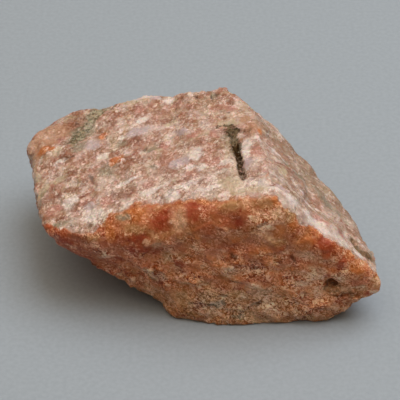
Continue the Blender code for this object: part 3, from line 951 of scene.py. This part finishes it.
def stepped(tree, pattern, look, colour):
    """Crushes some grains paler, and sinks others, which are darker and on the front richer in colour too.
    The palest steps carry the painted glints.
    """
    step = grain_steps(tree, pattern)
    sunk = add(tree, "MapRange", {0: pattern.pale, 3: 0.85, 4: 0.5})
    sunk = add(tree, "Math", {0: step, 1: sunk}, operation="MULTIPLY")
    step = add(tree, "Math", {0: step, 1: sunk}, operation="MAXIMUM")
    shade = add(tree, "Mix", {0: pattern.pale, 4: FRONT_SHADE, 5: TOP_SHADE}, 1, data_type="VECTOR")
    shade = add(tree, "VectorMath", {0: shade, "Scale": step}, operation="SCALE")
    colour = add(tree, "Gamma", {0: colour, 1: 1 / EYE_GAMMA})
    colour = add(tree, "VectorMath", {0: colour, 1: shade}, operation="ADD")
    colour = add(tree, "VectorMath", {0: colour, 1: DARKEST}, operation="MAXIMUM")
    colour = add(tree, "Gamma", {0: colour, 1: EYE_GAMMA})
    # The palest steps, the painted glints among them, are mixed towards pale chips on the front and white on
    # the top
    crushed = add(tree, "MapRange", {0: step, 1: 0.03, 2: 0.3, 4: 0.75})
    crushed_tint = add(tree, "Mix", {0: pattern.pale, 6: look.chip, 7: look.white}, 2, data_type="RGBA")
    return add(tree, "Mix", {0: crushed, 6: colour, 7: crushed_tint}, 2, data_type="RGBA")


def seamed(tree, pattern, look, colour):
    """Adds mica and chlorite as dark grains, and in the weathered seams as dark specks among pale ones. In
    the hole near the tip and in the recess under the ledge near the tip, the dark is partly painted shade.

    Returns the colour, and how much of this powdery mineral shows.
    """
    powdery = shown(tree, pattern, "dark")
    colour = add(tree, "Mix", {0: powdery, 6: colour, 7: look.dark}, 2, data_type="RGBA")
    speck = add(tree, "MapRange", {0: pattern.lot["small"][1], 1: 0.3, 2: 0.65, 4: 0.55})
    speck = add(tree, "Math", {0: pattern.lot["fine"][2], 1: 0.45, 2: speck}, operation="MULTIPLY_ADD")
    for name, (_, _, dark, light) in SEAMS.items():
        specks = add(tree, "Mix", {0: speck, 6: linear(dark), 7: linear(light)}, 2, data_type="RGBA")
        amount = shown(tree, pattern, name)
        colour = add(tree, "Mix", {0: amount, 6: colour, 7: specks}, 2, data_type="RGBA")
        powdery = add(tree, "Math", {0: powdery, 1: amount}, operation="MAXIMUM")
    return colour, powdery


def gloss(tree, pattern, powdery):
    """Roughness and shine. Fresh faces are glassy and bruised ones dull, and powdery mineral has no gloss."""
    # One grain in five on the top still shines
    shining = add(tree, "Math", {0: pattern.lot["middling"][2], 1: 0.8}, operation="GREATER_THAN")
    bruised = add(tree, "MapRange", {0: shining, 3: ROUGHNESS["bruised"], 4: ROUGHNESS["shining"]})
    clean = add(tree, "Mix", {0: pattern.pale, 2: ROUGHNESS["fresh"], 3: bruised}, data_type="FLOAT")
    roughness = add(tree, "Mix", {0: powdery, 2: clean, 3: ROUGHNESS["powdery"]}, data_type="FLOAT")
    clean = add(tree, "Mix", {0: pattern.pale, 2: SHINE["fresh"], 3: SHINE["bruised"]}, data_type="FLOAT")
    shine = add(tree, "Mix", {0: powdery, 2: clean, 3: SHINE["powdery"]}, data_type="FLOAT")
    return roughness, shine


def leaning_faces(tree, pattern):
    """The way that the surface faces. Each grain's face leans its own way, and less in the clear feldspar."""
    lively = add(tree, "MapRange", {0: pattern.gravelly, 3: 0.45, 4: 1})
    lively = add(tree, "Math", {0: pattern.pale, 1: lively}, operation="MAXIMUM")
    normal = add(tree, "NewGeometry", output="Normal")
    for name, most in GRAIN_LEANS.items():
        amount = add(tree, "Math", {0: lively, 1: most}, operation="MULTIPLY")
        tilt = add(tree, "VectorMath", {0: pattern.lean[name], "Scale": amount}, operation="SCALE")
        normal = add(tree, "VectorMath", {0: normal, 1: tilt}, operation="ADD")
    normal = add(tree, "VectorMath", {0: normal}, operation="NORMALIZE")
    return add(
        tree, "Bump",
        {"Height": pattern.swell["roughen"], "Normal": normal, "Strength": 0.7, "Distance": 0.2 * MM},
    )


def empty_material(name):
    """A new material with no nodes yet."""
    material = bpy.data.materials.new(name)
    material.use_nodes = True
    material.node_tree.nodes.clear()
    return material


def feldspar(look):
    """Pink sunstone feldspar, broken by hand and left rough.

    Broken feldspar gives the eye flat glassy faces that catch the light in turn. It is white and dull where
    it was bruised, and clear orange with red flashes of iron oxide where it is fresh.
    """
    material = empty_material("broken_sunstone_feldspar")
    tree = material.node_tree
    pattern = stone_patterns(tree, look)
    sides = {6: fresh_feldspar(tree, pattern, look), 7: bruised_feldspar(tree, pattern, look)}
    colour = add(tree, "Mix", {0: pattern.pale, **sides}, 2, data_type="RGBA")
    colour = coated(tree, pattern, look, colour)
    colour = stepped(tree, pattern, look, colour)
    colour, powdery = seamed(tree, pattern, look, colour)
    roughness, shine = gloss(tree, pattern, powdery)
    surface = add(tree, "BsdfPrincipled", {
        "Base Color": colour,
        "Roughness": roughness,
        "IOR": 1.53,
        "Specular IOR Level": shine,
        "Normal": leaning_faces(tree, pattern),
        "Subsurface Weight": 0.35,
        "Subsurface Radius": (1.0, 0.35, 0.15),
        "Subsurface Scale": 1.5 * MM,
    })
    add(tree, "OutputMaterial", {"Surface": surface})
    return material


def backing_paper(look):
    """Pale grey-blue matt backing paper, rolled and uncoated, which gives the eye an even soft ground."""
    material = empty_material("matt_grey_backing_paper")
    tree = material.node_tree
    place = add(tree, "TexCoord", output="Object")
    # Real fibres are too fine to show, so they are drawn more than ten times as coarse
    fibre = add(tree, "TexNoise", {"Vector": place, "Scale": 1 / (FIBRE_WIDTH * MM), "Detail": 3})
    raised = add(tree, "MapRange", {0: fibre, 1: 0.35, 2: 0.65})
    colour = add(tree, "Mix", {0: raised, 6: look.paper, 7: look.fibres}, 2, data_type="RGBA")
    bump = add(tree, "Bump", {"Height": fibre, "Strength": 0.1, "Distance": 0.05 * MM})
    sockets = {"Base Color": colour, "Roughness": 0.85, "IOR": 1.45, "Normal": bump}
    surface = add(tree, "BsdfPrincipled", sockets)
    add(tree, "OutputMaterial", {"Surface": surface})
    return material


def lay_floor(scene, look):
    """Lays a wide sheet of backing paper under the stone."""
    sheet = bmesh.new()
    bmesh.ops.create_grid(sheet, x_segments=1, y_segments=1, size=FLOOR_REACH)
    mesh = bpy.data.meshes.new("floor")
    sheet.to_mesh(mesh)
    sheet.free()
    floor = bpy.data.objects.new("floor", mesh)
    scene.collection.objects.link(floor)
    floor.data.materials.append(backing_paper(look))


def light_room(scene, look):
    """Lights the room from overhead, falling off quickly to the sides."""
    room = bpy.data.worlds.new("pale_room")
    room.use_nodes = True
    tree = room.node_tree
    way = add(tree, "TexCoord", output="Generated")
    height = add(tree, "SeparateXYZ", {0: way}, "Z")
    height = add(tree, "Math", {0: height, 1: 0}, operation="MAXIMUM")
    height = add(tree, "Math", {0: height, 1: ROOM_FALL_OFF}, operation="POWER")
    strength = add(tree, "MapRange", {0: height, 3: look.wall_light, 4: look.ceiling_light})
    background = tree.nodes["Background"]
    background.inputs["Color"].default_value = look.room
    tree.links.new(strength, background.inputs["Strength"])
    scene.world = room


def hang_lamp(scene, look):
    """Hangs one wide soft lamp above, behind and to the right of the stone."""
    data = bpy.data.lights.new("soft_lamp", "AREA")
    data.shape = "SQUARE"
    data.size = LAMP_WIDTH
    data.energy = look.lamp_power
    data.color = look.lamp[:3]
    lamp = bpy.data.objects.new("soft_lamp", data)
    scene.collection.objects.link(lamp)
    lamp.location = LAMP_PLACE
    lamp.rotation_euler = (AIM - LAMP_PLACE).to_track_quat("-Z", "Y").to_euler()


def set_camera(scene, look):
    """Sets the camera in front of the stone at the photo's viewing angle."""
    data = bpy.data.cameras.new("camera")
    data.lens = look.lens
    data.clip_start = NEAREST_SEEN
    camera = bpy.data.objects.new("camera", data)
    scene.collection.objects.link(camera)
    back = Vector((0, -math.cos(look.camera_angle), math.sin(look.camera_angle)))
    camera.location = AIM + back * look.camera_distance
    camera.rotation_euler = (-back).to_track_quat("-Z", "Y").to_euler()
    scene.camera = camera


class SUNSTONE_OT_lump(bpy.types.Operator):
    """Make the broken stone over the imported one, with its grains, seams and feldspar"""

    bl_idname = "sunstone.lump"
    bl_label = "Stone"
    bl_options = {"REGISTER", "UNDO"}

    def execute(self, context):
        look = context.scene.sunstone_look
        stone = fine_copy(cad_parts["sunstone"], look.face_size)
        break_stone(stone, look.relief)
        stone.data.materials.append(feldspar(look))
        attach(stone, "root")
        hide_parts("sunstone")
        return {"FINISHED"}


class SUNSTONE_OT_stage(bpy.types.Operator):
    """Lay the pale floor, and set the soft lamp, the room light and the camera"""

    bl_idname = "sunstone.stage"
    bl_label = "Studio"
    bl_options = {"REGISTER", "UNDO"}

    def execute(self, context):
        for part in (lay_floor, light_room, hang_lamp, set_camera):
            part(context.scene, context.scene.studio_look)
        context.scene.view_settings.view_transform = "Standard"
        return {"FINISHED"}


class SUNSTONE_PT_panel(bpy.types.Panel):
    """Sizes, colours and light of the sunstone"""

    bl_idname = "SUNSTONE_PT_panel"
    bl_label = "Rough sunstone"
    bl_space_type = "VIEW_3D"
    bl_region_type = "UI"
    bl_category = "Sunstone"

    def draw(self, context):
        for look, operator in (
            (context.scene.sunstone_look, SUNSTONE_OT_lump), (context.scene.studio_look, SUNSTONE_OT_stage),
        ):
            box = self.layout.box()
            for name in look.__annotations__:
                box.prop(look, name)
            box.operator(operator.bl_idname)


CLASSES = (SunstoneLook, StudioLook, SUNSTONE_OT_lump, SUNSTONE_OT_stage, SUNSTONE_PT_panel)


def register():
    for item in CLASSES:
        bpy.utils.register_class(item)
    bpy.types.Scene.sunstone_look = bpy.props.PointerProperty(type=SunstoneLook)
    bpy.types.Scene.studio_look = bpy.props.PointerProperty(type=StudioLook)


def unregister():
    del bpy.types.Scene.studio_look
    del bpy.types.Scene.sunstone_look
    for item in reversed(CLASSES):
        bpy.utils.unregister_class(item)


def main():
    register()
    bpy.ops.sunstone.lump()
    bpy.ops.sunstone.stage()


if __name__ == "__main__":
    main()
